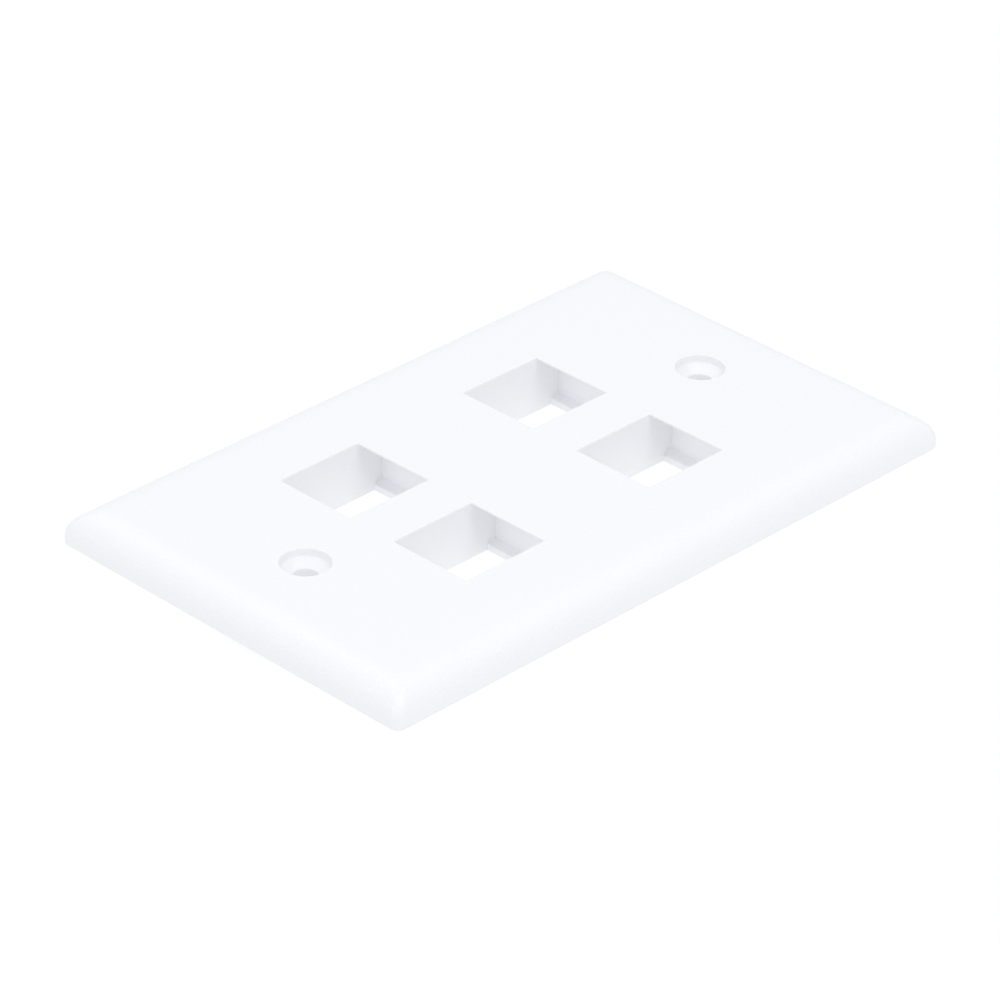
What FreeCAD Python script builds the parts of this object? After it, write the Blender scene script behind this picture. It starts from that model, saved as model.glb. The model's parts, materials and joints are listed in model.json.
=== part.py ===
"""Single-gang wall faceplate with four keystone jack ports, moulded as one piece.

The mounting plane, which is the back of the rim, is z = 0, with the origin midway between
the two screws. +Z points out of the face, +Y runs along the length towards the latch sides
of the ports, and X runs across the width. All sizes are in millimetres.
"""
import FreeCAD, Part
import math
import os
from FreeCAD import Vector

# Plate
plate_width = 70.0
plate_length = 115.0
rim_depth = 5.6            # mounting plane to the front of the face
wall = 2.0                 # face and rim thickness
corner_radius = 1.4        # outside corners, the same at every height
inner_corner_radius = 0.8  # corners of the hollow behind the face
roll_width = 5.2           # how far in from the edge the face starts to roll over
roll_height = 4.3          # how far down from the face the roll reaches
roll_sections = 9          # outlines that the rolled edge is skinned through

# Ports, in a grid; a port's own origin is the centre of its opening
port_columns = 2
port_rows = 2
port_pitch_x = 23.8
port_pitch_y = 38.1
port_grid_shift = -1.4     # grid centre along Y, from midway between the screws
opening_width = 14.7
opening_length = 15.9
frame_wall = 1.6
frame_corner_radius = 0.8
lip_land = 0.3             # straight edge of the face on the latch side of an opening
lip_relief = 3.2           # length of the slope that thins the face behind that edge

# Latch side of a port: a pocket under the face, then a catch with a sloped front
latch_room = 5.2           # pocket, beyond the opening's edge
latch_catch = 1.7          # how far the catch stands in from the pocket's end
catch_depth = 8.0          # front of the face to the catches, where a jack's latch grips
catch_thickness = 1.7      # front of the catches to the back of the port frames
catch_slope = 0.5          # how much further back the latch catch's tip starts

# Hook side of a port: a slot for the jack's fixed lug
hook_room = 1.8            # slot, beyond the opening's edge
hook_height = 2.4          # slot, along the depth, in front of the catches

# Device screws
screw_spacing = 83.34
screw_hole_diameter = 4.0
seat_diameter = 7.7        # recess for the screw head, at the face
seat_wall = 1.1            # straight wall of the recess
seat_floor_diameter = 7.3  # where that wall meets the seat
seat_depth = 2.3           # front of the face to the top of the screw hole
boss_diameter = 9.5
boss_setback = 1.0         # mounting plane to the back of the boss

# Stiffening ribs behind the face, in line with the walls of the port frames
rib_thickness = 1.2
rib_setback = 0.9          # mounting plane to the back of the ribs

edge_break = 0.2           # bevel on the front edges of the openings and recesses
overshoot = 1.0            # how far a cutter runs past what it cuts

face_back = rim_depth - wall
root = rim_depth - wall / 2    # inside the face, where what stands behind it starts
catch_front = rim_depth - catch_depth
port_back = catch_front - catch_thickness
frame_width = opening_width + 2 * frame_wall
frame_start = -opening_length / 2 - hook_room - frame_wall
frame_end = opening_length / 2 + latch_room + frame_wall
port_columns_x = [(i - (port_columns - 1) / 2) * port_pitch_x for i in range(port_columns)]
port_rows_y = [(i - (port_rows - 1) / 2) * port_pitch_y + port_grid_shift for i in range(port_rows)]


def rounded_outline(width, length, radius, z):
    """A rectangle about the Z axis with rounded corners, as a closed wire."""
    x, y = width / 2 - radius, length / 2 - radius
    arcs = []
    for quarter, (side_x, side_y) in enumerate(((1, 1), (-1, 1), (-1, -1), (1, -1))):
        circle = Part.Circle(Vector(side_x * x, side_y * y, z), Vector(0, 0, 1), radius)
        start = quarter * math.pi / 2
        arcs.append(Part.ArcOfCircle(circle, start, start + math.pi / 2))
    edges = []
    for arc, following in zip(arcs, arcs[1:] + arcs[:1]):
        edges.append(arc.toShape())
        edges.append(Part.makeLine(arc.EndPoint, following.StartPoint))
    return Part.Wire(edges)


def prism(outline, height):
    """A solid that stands on an outline."""
    return Part.Face(outline).extrude(Vector(0, 0, height))


def rolled_block(width, length, height, roll_in, roll_down, radius):
    """A block on z = 0 whose top edges roll over as quarter ellipses."""
    land = height - roll_down
    outlines = []
    for i in range(roll_sections):
        turn = math.pi / 2 * i / (roll_sections - 1)
        inset = roll_in * (1 - math.cos(turn))
        z = land + roll_down * math.sin(turn)
        outlines.append(rounded_outline(width - 2 * inset, length - 2 * inset, radius, z))
    roll = Part.makeLoft(outlines, True, False)
    return prism(rounded_outline(width, length, radius, 0), land).fuse(roll)


def box_between(low, high):
    """A box from its lowest corner to its highest."""
    size = high - low
    return Part.makeBox(size.x, size.y, size.z, low)


def outer_form():
    """The plate's outside, still solid."""
    return rolled_block(
        plate_width, plate_length, rim_depth, roll_width, roll_height, corner_radius
    )


def hollow():
    """The space behind the face, one wall thickness inside the outer form."""
    return rolled_block(
        plate_width - 2 * wall,
        plate_length - 2 * wall,
        face_back,
        roll_width - wall,
        roll_height - wall,
        inner_corner_radius,
    )


def port_frame():
    """The walls round one port, still solid inside."""
    length = frame_end - frame_start
    outline = rounded_outline(frame_width, length, frame_corner_radius, port_back)
    block = prism(outline, root - port_back)
    block.translate(Vector(0, (frame_start + frame_end) / 2, 0))
    return block


def port_cavity():
    """What is cut through one port: the opening, the latch pocket and the lug slot."""
    half = opening_length / 2
    front = rim_depth + overshoot
    back = port_back - overshoot
    pocket_end = half + latch_room
    catch_tip = pocket_end - latch_catch
    slot_end = -half - hook_room
    slot_front = catch_front + hook_height
    profile = [
        (-half, front),
        (half, front),
        (half, rim_depth - lip_land),
        (half + lip_relief, face_back),
        (pocket_end, face_back),
        (pocket_end, catch_front),
        (catch_tip, catch_front - catch_slope),
        (catch_tip, back),
        (-half, back),
        (-half, catch_front),
        (slot_end, catch_front),
        (slot_end, slot_front),
        (-half, slot_front),
    ]
    points = [Vector(-opening_width / 2, y, z) for y, z in profile]
    section = Part.Face(Part.makePolygon(points + points[:1]))
    return section.extrude(Vector(opening_width, 0, 0))


def opening_bevel():
    """What is cut off the front edges of one opening: a wedge that widens forwards."""
    height = edge_break + overshoot
    x, y = opening_width / 2, opening_length / 2
    wide_x, wide_y = x + height, y + height
    wedge = Part.makeWedge(-x, 0, -y, -wide_y, -wide_x, x, height, y, wide_y, wide_x)
    wedge.rotate(Vector(0, 0, 0), Vector(1, 0, 0), 90)
    wedge.translate(Vector(0, 0, rim_depth - edge_break))
    return wedge


def screw_boss():
    """The pad behind a screw hole."""
    back = Vector(0, 0, boss_setback)
    return Part.makeCylinder(boss_diameter / 2, root - boss_setback, back)


def screw_cutter():
    """The recess for a screw head, with its shallow seat, and the hole below it."""
    hole_radius = screw_hole_diameter / 2
    seat_radius = seat_diameter / 2
    profile = [
        (0, rim_depth + overshoot),
        (seat_radius + edge_break + overshoot, rim_depth + overshoot),
        (seat_radius, rim_depth - edge_break),
        (seat_floor_diameter / 2, rim_depth - seat_wall),
        (hole_radius, rim_depth - seat_depth),
        (hole_radius, -overshoot),
        (0, -overshoot),
    ]
    points = [Vector(radius, 0, z) for radius, z in profile]
    section = Part.Face(Part.makePolygon(points + points[:1]))
    return section.revolve(Vector(0, 0, 0), Vector(0, 0, 1), 360)


def ribs():
    """The grid of low ribs, each from one side of the rim to the other."""
    end_x, end_y = (plate_width - wall) / 2, (plate_length - wall) / 2
    half = rib_thickness / 2
    wall_offset = (opening_width + frame_wall) / 2
    bars = []
    for column in port_columns_x:
        for x in (column - wall_offset, column + wall_offset):
            low = Vector(x - half, -end_y, rib_setback)
            bars.append(box_between(low, Vector(x + half, end_y, root)))
    for row in port_rows_y:
        for y in (row + frame_start + frame_wall / 2, row + frame_end - frame_wall / 2):
            low = Vector(-end_x, y - half, rib_setback)
            bars.append(box_between(low, Vector(end_x, y + half, root)))
    return bars


def copies(make, places):
    """One solid at each place."""
    solids = []
    for place in places:
        solid = make()
        solid.translate(place)
        solids.append(solid)
    return solids


def faceplate():
    """The whole moulding."""
    ports = [Vector(x, y, 0) for x in port_columns_x for y in port_rows_y]
    screws = [Vector(0, side * screw_spacing / 2, 0) for side in (-1, 1)]
    outer = outer_form()
    backing = [bar.common(outer) for bar in ribs()]
    backing += copies(port_frame, ports)
    backing += copies(screw_boss, screws)
    cutters = copies(port_cavity, ports)
    cutters += copies(opening_bevel, ports)
    cutters += copies(screw_cutter, screws)
    shell = outer.cut(hollow())
    return shell.multiFuse(backing).cut(cutters).removeSplitter()


os.makedirs("parts", exist_ok=True)
plate = faceplate()
plate.exportStep("parts/faceplate.step")
print("faceplate: %d solid, valid %s" % (len(plate.Solids), plate.isValid()))
print("volume %.1f mm3, box %s" % (plate.Volume, plate.BoundBox))
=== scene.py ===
"""Looks of the white keystone faceplate: its detailed moulding, plastic, studio and camera.

The moulding is built in millimetres from plain forms that carry their own roundings, which are
then joined and cut as the mould would shape them, and scaled to metres at the end.
"""
import json
import math

import bmesh
import bpy
from mathutils import Matrix, Vector


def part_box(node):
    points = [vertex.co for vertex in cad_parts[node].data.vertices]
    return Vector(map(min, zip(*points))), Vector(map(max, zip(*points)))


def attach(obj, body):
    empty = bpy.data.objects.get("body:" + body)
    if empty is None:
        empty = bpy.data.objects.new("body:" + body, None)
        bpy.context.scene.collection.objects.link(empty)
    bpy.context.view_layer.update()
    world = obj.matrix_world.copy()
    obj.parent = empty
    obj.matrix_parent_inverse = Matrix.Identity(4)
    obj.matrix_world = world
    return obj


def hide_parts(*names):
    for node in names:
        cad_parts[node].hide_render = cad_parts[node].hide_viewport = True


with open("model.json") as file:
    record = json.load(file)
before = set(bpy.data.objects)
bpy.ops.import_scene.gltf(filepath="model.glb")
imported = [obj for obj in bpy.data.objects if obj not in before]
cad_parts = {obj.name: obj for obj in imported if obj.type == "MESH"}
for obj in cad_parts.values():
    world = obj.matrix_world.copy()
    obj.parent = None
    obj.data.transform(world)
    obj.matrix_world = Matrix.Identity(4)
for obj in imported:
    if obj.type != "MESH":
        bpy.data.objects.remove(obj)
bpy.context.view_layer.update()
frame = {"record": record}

MM = 0.001
NODE = "faceplate"

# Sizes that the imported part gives, in millimetres
box_low, box_high = (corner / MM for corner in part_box(NODE))
mounts = {mount["name"]: mount for mount in frame["record"]["mounts"]}
screws = mounts["device_screws"]["dims"]
plate_width = box_high.x - box_low.x
plate_length = box_high.y - box_low.y
face_front = box_high.z
frame_back = box_low.z
port_centres = [
    Vector(mount["pos_m"]) / MM for name, mount in mounts.items() if name.startswith("jack_port_")
]
catch_front = port_centres[0].z
screw_spacing = screws["spacing_y_mm"]
screw_hole_radius = screws["hole_r_mm"]

# Sizes of the moulding, in millimetres
wall = 2.0
corner_radius = 1.4
inner_corner_radius = 0.8
roll_width = 5.2
roll_height = 4.3
opening_width = 14.7
opening_length = 15.9
frame_wall = 1.6
frame_corner_radius = 0.8
lip_land = 0.3             # straight edge of the face on the latch side of an opening
lip_relief = 3.2           # length of the slope that thins the face behind that edge
latch_room = 5.2           # latch pocket, beyond the opening's edge
latch_catch = 1.7          # how far the catch stands in from the pocket's end
catch_slope = 0.5          # how much further back the catch's tip starts
hook_room = 1.8            # lug slot, beyond the opening's edge
hook_height = 2.4          # lug slot, along the depth
seat_radius = 3.85         # screw recess, at the face
seat_floor_radius = 3.65   # where the recess's wall meets the seat
seat_wall = 1.1            # depth of that wall
seat_depth = 2.3           # front of the face to the top of the screw hole
boss_radius = 4.75
boss_back = 1.0
rib_thickness = 1.2
rib_back = 0.9
ejector_radius = 1.6
ejector_depth = 0.08
ejector_side = 9.6         # from the plate's long sides to the marks
ejector_end = 13.0         # from its ends
past = 1.0                 # how far a cutter runs past what it cuts

# Roundings, in millimetres
opening_round = 0.22
lip_round = 0.4            # where the lip's slope meets the back of the face
pocket_round = 0.3         # front corner inside the latch pocket
catch_round = 0.2          # edges and feet of the catches, and the front of the lug slot
slot_round = 0.15          # back corner inside the lug slot
seat_round = 0.12          # front edge of a screw recess
seat_foot_round = 0.15     # where the recess's wall meets the seat
hole_round = 0.2           # both ends of a screw hole
rim_round = 0.3
frame_round = 0.25
rib_round = 0.3            # backs of the ribs and bosses, and the mouth of the hollow
root_fillet = 0.45         # where ribs, frames and bosses meet the face

# Surface, with lengths in metres
grain_size = 0.00035
grain_height = 0.00003
grain_detail, grain_roughness = 2.0, 0.6
grain_strength = 0.35
cloud_size = 0.012
cloud_detail, cloud_roughness = 3.0, 0.5
noise_range = (0.3, 0.7)               # the stretch of a noise that is spread over a range
gloss_range = (0.42, 0.5)              # as shader roughness
refraction = 1.53
plastic_light = (0.917, 0.919, 0.935, 1)
plastic_dark = (0.881, 0.883, 0.9, 1)

# Studio, in metres, and the camera, in degrees and millimetres
floor_size = 12.0
floor_grey = 0.04
floor_glow = 0.98
painted_shade_glow = 0.63                      # glow of the floor right behind a screw hole, dimmed as a painted shade
painted_shade_reach = (0.034, 0.014, 1)        # how far that painted shade fades, across and along; Z plays no part
world_glow = 0.755
floor_colour = (0.997, 1.0, 1.01)
light_colour = (0.993, 1.0, 1.0205)
light_bounces = 16
softbox_size = 0.5
softbox_distance = 1.0
softboxes = {
    # name: azimuth and elevation in degrees, power in watts
    "right": (90, 57, 1.92),
    "near": (0, 35, 0.92),
    "left": (270, 60, 1.02),
    "far": (180, 60, 0.41),
}
view_azimuth = 43.78
view_elevation = 30.68
view_tilt = 1.501
view_distance = 754.75
view_target = (6.879, -8.979, face_front)
view_lens = 185.89
sensor_width = 36.0
nearest_seen, farthest_seen = 0.01, 2 * floor_size    # in metres

# How finely round stretches are divided, and how the mesh is finished
roll_steps = 22
corner_steps = 10
round_steps = 5
circle_steps = 96
weld_distance = 0.002      # in millimetres
same_digits = 4            # decimals to which two places have to agree to be the same
sharp_angle = math.radians(32)

# Places that follow, in millimetres; a port's are measured from the centre of its opening
face_back = face_front - wall
root = face_front - wall / 2       # inside the face, where what stands behind it starts
half_width, half_length = opening_width / 2, opening_length / 2
frame_start = -half_length - hook_room - frame_wall
frame_end = half_length + latch_room + frame_wall
frame_width = opening_width + 2 * frame_wall


def turn(steps):
    """Angles from 0 to a quarter turn."""
    return [math.pi / 2 * i / steps for i in range(steps + 1)]


def distinct(values):
    """The different values, in order; those that differ only in the last digits count as one."""
    return sorted({round(value, same_digits) for value in values})


def mesh_object(name, points, faces):
    """A closed mesh, in millimetres, with its faces turned outwards."""
    mesh = bpy.data.meshes.new(name)
    mesh.from_pydata(points, [], faces)
    shape = bmesh.new()
    shape.from_mesh(mesh)
    bmesh.ops.recalc_face_normals(shape, faces=shape.faces)
    shape.to_mesh(mesh)
    shape.free()
    obj = bpy.data.objects.new(name, mesh)
    bpy.context.scene.collection.objects.link(obj)
    return obj


def loft(name, rings):
    """A solid skinned through rings of equally many points."""
    count = len(rings[0])
    faces = [list(range(count))[::-1]]
    for level in range(len(rings) - 1):
        for i in range(count):
            j = (i + 1) % count
            low, high = level * count, (level + 1) * count
            faces.append([low + i, low + j, high + j, high + i])
    top = (len(rings) - 1) * count
    faces.append([top + i for i in range(count)])
    return mesh_object(name, [point for ring in rings for point in ring], faces)


def prism(name, outline, place, low, high):
    """A solid with one outline along its length; place(u, v, w) puts a point at length w."""
    return loft(name, [[place(u, v, w) for u, v in outline] for w in (low, high)])


def rounded_rectangle(width, length, radius, z, centre=(0, 0)):
    """A ring round a rectangle; with no radius it has four points."""
    ring = []
    for quarter, (side_x, side_y) in enumerate(((1, 1), (-1, 1), (-1, -1), (1, -1))):
        x = centre[0] + side_x * (width / 2 - radius)
        y = centre[1] + side_y * (length / 2 - radius)
        for angle in turn(corner_steps) if radius else [0]:
            at = angle + quarter * math.pi / 2
            ring.append((x + radius * math.cos(at), y + radius * math.sin(at), z))
    return ring


def circle(radius, z, centre=(0, 0)):
    """A ring of points about the Z axis, or an axis parallel to it."""
    angles = [2 * math.pi * i / circle_steps for i in range(circle_steps)]
    return [
        (centre[0] + radius * math.cos(angle), centre[1] + radius * math.sin(angle), z)
        for angle in angles
    ]


def softened(outline):
    """A closed outline of (u, v, radius) corners, with each corner rounded to its radius."""
    points = []
    for i, (u, v, radius) in enumerate(outline):
        corner = Vector((u, v))
        if not radius:
            points.append(corner)
            continue
        before = (Vector(outline[i - 1][:2]) - corner).normalized()
        after = (Vector(outline[(i + 1) % len(outline)][:2]) - corner).normalized()
        half_angle = before.angle(after) / 2
        centre = corner + (before + after).normalized() * (radius / math.sin(half_angle))
        reach = radius / math.tan(half_angle)
        start = (corner + before * reach - centre).normalized()
        end = (corner + after * reach - centre).normalized()
        for step in range(round_steps + 1):
            points.append(centre + start.slerp(end, step / round_steps) * radius)
    return points


def roll_rings(width, length, height, roll_in, roll_down, radius):
    """The rings of an edge that rolls over as a quarter ellipse, from its foot to the flat."""
    rings = []
    for angle in turn(roll_steps):
        inset = roll_in * (1 - math.cos(angle))
        z = height - roll_down * (1 - math.sin(angle))
        rings.append(rounded_rectangle(width - 2 * inset, length - 2 * inset, radius, z))
    return rings


def outer_form():
    """The outside of the plate, with the back edge of its rim rounded."""
    rings = []
    for angle in turn(round_steps):
        inset = rim_round * (1 - math.sin(angle))
        z = rim_round * (1 - math.cos(angle))
        rings.append(rounded_rectangle(
            plate_width - 2 * inset, plate_length - 2 * inset, corner_radius - inset, z))
    rings += roll_rings(
        plate_width, plate_length, face_front, roll_width, roll_height, corner_radius)
    return loft("outer_form", rings)


def hollow():
    """The space behind the face, which widens a little at its mouth."""
    width, length = plate_width - 2 * wall, plate_length - 2 * wall
    rings = []
    for z in (-past, 0):
        rings.append(rounded_rectangle(
            width + 2 * rib_round, length + 2 * rib_round, inner_corner_radius + rib_round, z))
    for angle in turn(round_steps)[1:]:
        grow = rib_round * (1 - math.sin(angle))
        z = rib_round * (1 - math.cos(angle))
        rings.append(rounded_rectangle(
            width + 2 * grow, length + 2 * grow, inner_corner_radius + grow, z))
    rings += roll_rings(
        width, length, face_back, roll_width - wall, roll_height - wall, inner_corner_radius)
    return loft("hollow", rings)


def rib_outline():
    """Across a rib: rounded at its back and spread where it meets the face."""
    half, foot = rib_thickness / 2, rib_thickness / 2 + root_fillet
    return softened([
        (-half, rib_back, rib_round),
        (half, rib_back, rib_round),
        (half, face_back, root_fillet),
        (foot + root_fillet, face_back, 0),
        (foot + root_fillet, root, 0),
        (-foot - root_fillet, root, 0),
        (-foot - root_fillet, face_back, 0),
        (-half, face_back, root_fillet),
    ])


def ribs():
    """The ribs in line with the walls of the port frames, each the whole way across."""
    offset = (opening_width + frame_wall) / 2
    ends = (frame_start + frame_wall / 2, frame_end - frame_wall / 2)
    outline = rib_outline()
    bars = []
    for x in distinct(centre.x + side for centre in port_centres for side in (-offset, offset)):
        bars.append(prism(
            "rib", outline, lambda u, v, w: (x + u, w, v), -plate_length, plate_length))
    for y in distinct(centre.y + end for centre in port_centres for end in ends):
        bars.append(prism(
            "rib", outline, lambda u, v, w: (w, y + u, v), -plate_width, plate_width))
    return bars


def port_frame(centre):
    """The walls round one port, still solid: rounded at the back, spread at the face."""
    middle = (centre.x, centre.y + (frame_start + frame_end) / 2)
    length = frame_end - frame_start

    def ring(grow, z):
        return rounded_rectangle(
            frame_width + 2 * grow, length + 2 * grow, frame_corner_radius + grow, z, middle)

    rings = []
    for angle in turn(round_steps):
        z = frame_back + frame_round * (1 - math.cos(angle))
        rings.append(ring(frame_round * (math.sin(angle) - 1), z))
    for angle in turn(round_steps):
        z = face_back - root_fillet * (1 - math.sin(angle))
        rings.append(ring(root_fillet * (1 - math.cos(angle)), z))
    rings.append(ring(root_fillet, root))
    return loft("port_frame", rings)


def screw_boss(place):
    """The pad behind a screw hole."""
    rings = []
    for angle in turn(round_steps):
        z = boss_back + rib_round * (1 - math.cos(angle))
        rings.append(circle(boss_radius + rib_round * (math.sin(angle) - 1), z, place))
    for angle in turn(round_steps):
        z = face_back - root_fillet * (1 - math.sin(angle))
        rings.append(circle(boss_radius + root_fillet * (1 - math.cos(angle)), z, place))
    rings.append(circle(boss_radius + root_fillet, root, place))
    return loft("screw_boss", rings)


def flare(centre, low_y, high_y, edge_z, outward, radius):
    """Cutter for the rounding of a square hole's mouth; outward is 1 in front and -1 behind."""
    middle = (centre.x, centre.y + (low_y + high_y) / 2)
    rings = []
    for angle in turn(round_steps):
        grow = radius * (1 - math.cos(angle))
        z = edge_z + outward * radius * (math.sin(angle) - 1)
        rings.append(rounded_rectangle(
            opening_width + 2 * grow, high_y - low_y + 2 * grow, 0, z, middle))
    rings.append([(x, y, z + outward * past) for x, y, z in rings[-1]])
    return loft("flare", rings)


def port_cavity(centre):
    """Cutters for one port: its opening, latch pocket and lug slot, then its rounded mouths."""
    pocket_end = half_length + latch_room
    catch_tip = pocket_end - latch_catch
    slot_end = -half_length - hook_room
    slot_front = catch_front + hook_height
    outline = softened([
        (-half_length, face_front + past, 0),
        (half_length, face_front + past, 0),
        (half_length, face_front - lip_land, 0),
        (half_length + lip_relief, face_back, lip_round),
        (pocket_end, face_back, pocket_round),
        (pocket_end, catch_front, catch_round),
        (catch_tip, catch_front - catch_slope, catch_round),
        (catch_tip, frame_back - past, 0),
        (-half_length, frame_back - past, 0),
        (-half_length, catch_front, catch_round),
        (slot_end, catch_front, slot_round),
        (slot_end, slot_front, catch_round),
        (-half_length, slot_front, catch_round),
    ])
    return [
        prism("cavity", outline, lambda u, v, w: (w, centre.y + u, v),
              centre.x - half_width, centre.x + half_width),
        flare(centre, -half_length, half_length, face_front, 1, opening_round),
        flare(centre, -half_length, catch_tip, frame_back, -1, frame_round),
    ]


def screw_cutter(place):
    """Cutter for the recess of a screw head, with its shallow seat, and the hole below it."""
    outline = softened([
        (0, face_front + past, 0),
        (seat_radius + past, face_front + past, 0),
        (seat_radius + past, face_front, 0),
        (seat_radius, face_front, seat_round),
        (seat_floor_radius, face_front - seat_wall, seat_foot_round),
        (screw_hole_radius, face_front - seat_depth, hole_round),
        (screw_hole_radius, boss_back, hole_round),
        (screw_hole_radius + past, boss_back, 0),
        (screw_hole_radius + past, -past, 0),
        (0, -past, 0),
    ])
    return loft("screw_cutter", [circle(r, z, place) for r, z in outline if r])


def ejector_marks():
    """Cutters for the shallow rounds that a mould's ejector pins leave behind the face."""
    side, end = plate_width / 2 - ejector_side, plate_length / 2 - ejector_end
    columns = distinct(centre.x for centre in port_centres)
    rows = distinct(centre.y for centre in port_centres)
    places = [(x, y) for x in sorted([*columns, -side, side]) for y in (-end, end)]
    places += [(x, y) for x in (-side, side) for y in rows]
    depths = (face_back - past, face_back + ejector_depth)
    return [
        loft("ejector_mark", [circle(ejector_radius, z, place) for z in depths])
        for place in places
    ]


def combined(base, tool, operation):
    """Joins a tool to the base or cuts it out, and takes the tool away."""
    change = base.modifiers.new("form", "BOOLEAN")
    change.operation = operation
    change.solver = "MANIFOLD"
    change.object = tool
    graph = bpy.context.evaluated_depsgraph_get()
    mesh = bpy.data.meshes.new_from_object(base.evaluated_get(graph))
    base.modifiers.clear()
    base.data = mesh
    bpy.data.objects.remove(tool)


def finished(obj):
    """Welds the cuts, turns millimetres to metres, and shades only round faces smooth."""
    shape = bmesh.new()
    shape.from_mesh(obj.data)
    bmesh.ops.remove_doubles(shape, verts=shape.verts, dist=weld_distance)
    bmesh.ops.scale(shape, vec=(MM, MM, MM), verts=shape.verts)
    for face in shape.faces:
        face.smooth = True
    for edge in shape.edges:
        edge.smooth = edge.calc_face_angle(0) < sharp_angle
    shape.to_mesh(obj.data)
    shape.free()
    flatten = obj.modifiers.new("flat faces", "WEIGHTED_NORMAL")
    flatten.keep_sharp = True
    graph = bpy.context.evaluated_depsgraph_get()
    mesh = bpy.data.meshes.new_from_object(obj.evaluated_get(graph))
    obj.modifiers.clear()
    obj.data = mesh


def moulding():
    """The whole faceplate, as one closed mesh in metres."""
    places = [(0, side * screw_spacing / 2) for side in (-1, 1)]
    inside = hollow()
    for rib in ribs():
        combined(inside, rib, "DIFFERENCE")
    plate = outer_form()
    combined(plate, inside, "DIFFERENCE")
    for centre in port_centres:
        combined(plate, port_frame(centre), "UNION")
    for place in places:
        combined(plate, screw_boss(place), "UNION")
    for centre in port_centres:
        for cutter in port_cavity(centre):
            combined(plate, cutter, "DIFFERENCE")
    for place in places:
        combined(plate, screw_cutter(place), "DIFFERENCE")
    for mark in ejector_marks():
        combined(plate, mark, "DIFFERENCE")
    finished(plate)
    plate.name = "faceplate_moulding"
    return plate


def new_material(name):
    """A material with its node tree, its shader and the coordinates of the object that has it."""
    material = bpy.data.materials.new(name)
    material.use_nodes = True
    tree = material.node_tree
    place = tree.nodes.new("ShaderNodeTexCoord").outputs["Object"]
    return material, tree, tree.nodes["Principled BSDF"], place


def spread(tree, value, old, new, curve="LINEAR"):
    """A value with its old range spread over a new one."""
    span = tree.nodes.new("ShaderNodeMapRange")
    span.interpolation_type = curve
    for socket, limit in zip(("From Min", "From Max", "To Min", "To Max"), (*old, *new)):
        span.inputs[socket].default_value = limit
    tree.links.new(value, span.inputs["Value"])
    return span.outputs["Result"]


def moulded_plastic():
    """White satin plastic with the fine grain of a spark-eroded mould."""
    material, tree, shader, place = new_material("white_moulded_plastic")
    nodes, links = tree.nodes, tree.links

    def noise(size, detail, roughness):
        texture = nodes.new("ShaderNodeTexNoise")
        texture.inputs["Scale"].default_value = 1 / size
        texture.inputs["Detail"].default_value = detail
        texture.inputs["Roughness"].default_value = roughness
        links.new(place, texture.inputs["Vector"])
        return texture.outputs["Fac"]

    grain = noise(grain_size, grain_detail, grain_roughness)
    cloud = noise(cloud_size, cloud_detail, cloud_roughness)
    tint = nodes.new("ShaderNodeMix")
    tint.data_type = "RGBA"
    tint.inputs["A"].default_value = plastic_dark
    tint.inputs["B"].default_value = plastic_light
    links.new(spread(tree, grain, noise_range, (0, 1)), tint.inputs["Factor"])
    links.new(tint.outputs["Result"], shader.inputs["Base Color"])
    links.new(spread(tree, cloud, noise_range, gloss_range), shader.inputs["Roughness"])
    shader.inputs["IOR"].default_value = refraction
    bump = nodes.new("ShaderNodeBump")
    bump.inputs["Strength"].default_value = grain_strength
    bump.inputs["Distance"].default_value = grain_height
    links.new(grain, bump.inputs["Height"])
    links.new(bump.outputs["Normal"], shader.inputs["Normal"])
    return material


def white_glow_with_painted_shade():
    """A glowing white, dulled by a painted shade behind each screw hole, where the plate would
    shade it.
    """
    material, tree, shader, place = new_material("white_glow_with_painted_shade")

    def vector_math(operation, vector, operand=(0, 0, 0)):
        node = tree.nodes.new("ShaderNodeVectorMath")
        node.operation = operation
        node.inputs[1].default_value = operand
        tree.links.new(vector, node.inputs[0])
        return node.outputs

    folded = vector_math("ABSOLUTE", place)["Vector"]      # so that both holes get the painted shade
    scaled = vector_math("DIVIDE", folded, painted_shade_reach)["Vector"]
    screw = (0, screw_spacing / 2 * MM / painted_shade_reach[1], 0)
    from_screw = vector_math("DISTANCE", scaled, screw)["Value"]
    # the floor's glow, dimmed near each screw hole by a painted shade
    glow = spread(tree, from_screw, (0, 1), (painted_shade_glow, floor_glow), "SMOOTHSTEP")
    tree.links.new(glow, shader.inputs["Emission Strength"])
    shader.inputs["Emission Color"].default_value = (*floor_colour, 1)
    shader.inputs["Base Color"].default_value = (floor_grey, floor_grey, floor_grey, 1)
    shader.inputs["Roughness"].default_value = 1
    shader.inputs["Specular IOR Level"].default_value = 0
    return material


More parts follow.
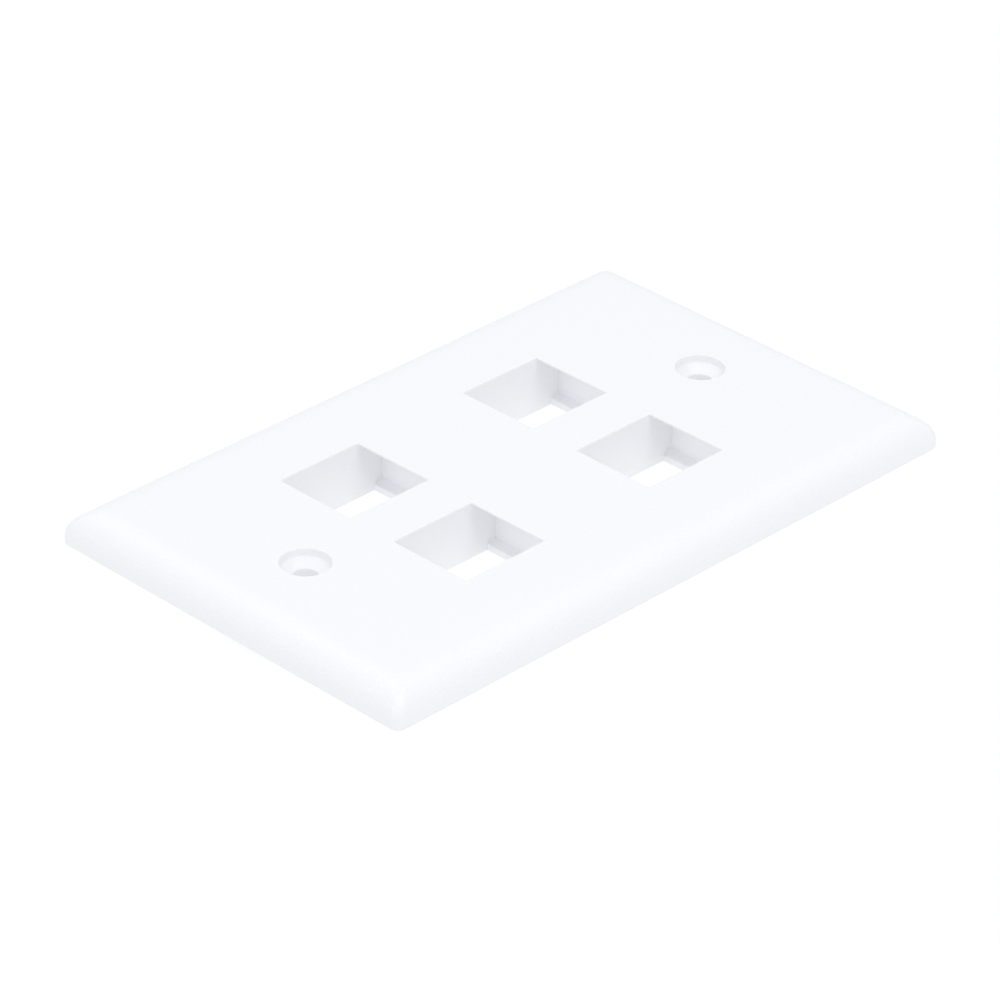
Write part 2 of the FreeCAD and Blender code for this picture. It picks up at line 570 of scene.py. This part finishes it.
def white_floor():
    """A floor under the port frames, glowing bright enough to leave no shadow's edge, with a
    painted shade behind the screw holes.
    """
    bpy.ops.mesh.primitive_plane_add(size=floor_size, location=(0, 0, frame_back * MM))
    floor = bpy.context.object
    floor.name = "floor"
    floor.data.materials.append(white_glow_with_painted_shade())


def direction(azimuth, elevation):
    """A unit vector to an azimuth, 0 at -Y and growing towards +X, and an elevation."""
    azimuth, elevation = math.radians(azimuth), math.radians(elevation)
    return Vector((
        math.sin(azimuth) * math.cos(elevation),
        -math.cos(azimuth) * math.cos(elevation),
        math.sin(elevation),
    ))


def softbox(name, azimuth, elevation, power):
    """A square area light that faces the plate."""
    light = bpy.data.lights.new(name, "AREA")
    light.size = softbox_size
    light.color = light_colour
    light.energy = power
    lamp = bpy.data.objects.new(name, light)
    bpy.context.scene.collection.objects.link(lamp)
    towards = direction(azimuth, elevation)
    lamp.location = towards * softbox_distance
    lamp.rotation_euler = towards.to_track_quat("Z", "Y").to_euler()


def studio():
    """Even white light from all round, and softboxes that give the ports their shadows."""
    world = bpy.data.worlds.new("studio")
    world.use_nodes = True
    background = world.node_tree.nodes["Background"]
    background.inputs["Color"].default_value = (*light_colour, 1)
    background.inputs["Strength"].default_value = world_glow
    scene = bpy.context.scene
    scene.world = world
    for name, setting in softboxes.items():
        softbox(name, *setting)
    scene.view_settings.view_transform = "Standard"
    scene.cycles.max_bounces = light_bounces
    scene.cycles.diffuse_bounces = light_bounces


def camera():
    """A long lens that looks down on the plate from its lower right."""
    back = direction(view_azimuth, view_elevation)
    level = Vector((0, 0, 1)).cross(back).normalized()
    right = Matrix.Rotation(math.radians(view_tilt), 3, back) @ level
    up = back.cross(right)
    place = Vector(view_target) * MM + back * view_distance * MM
    data = bpy.data.cameras.new("camera")
    data.lens = view_lens
    data.sensor_width = sensor_width
    data.clip_start = nearest_seen
    data.clip_end = farthest_seen
    eye = bpy.data.objects.new("camera", data)
    eye.matrix_world = Matrix((right, up, back)).transposed().to_4x4()
    eye.matrix_world.translation = place
    bpy.context.scene.collection.objects.link(eye)
    bpy.context.scene.camera = eye


plate = moulding()
plate.data.materials.clear()
plate.data.materials.append(moulded_plastic())
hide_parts(NODE)
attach(plate, "root")
white_floor()
studio()
camera()
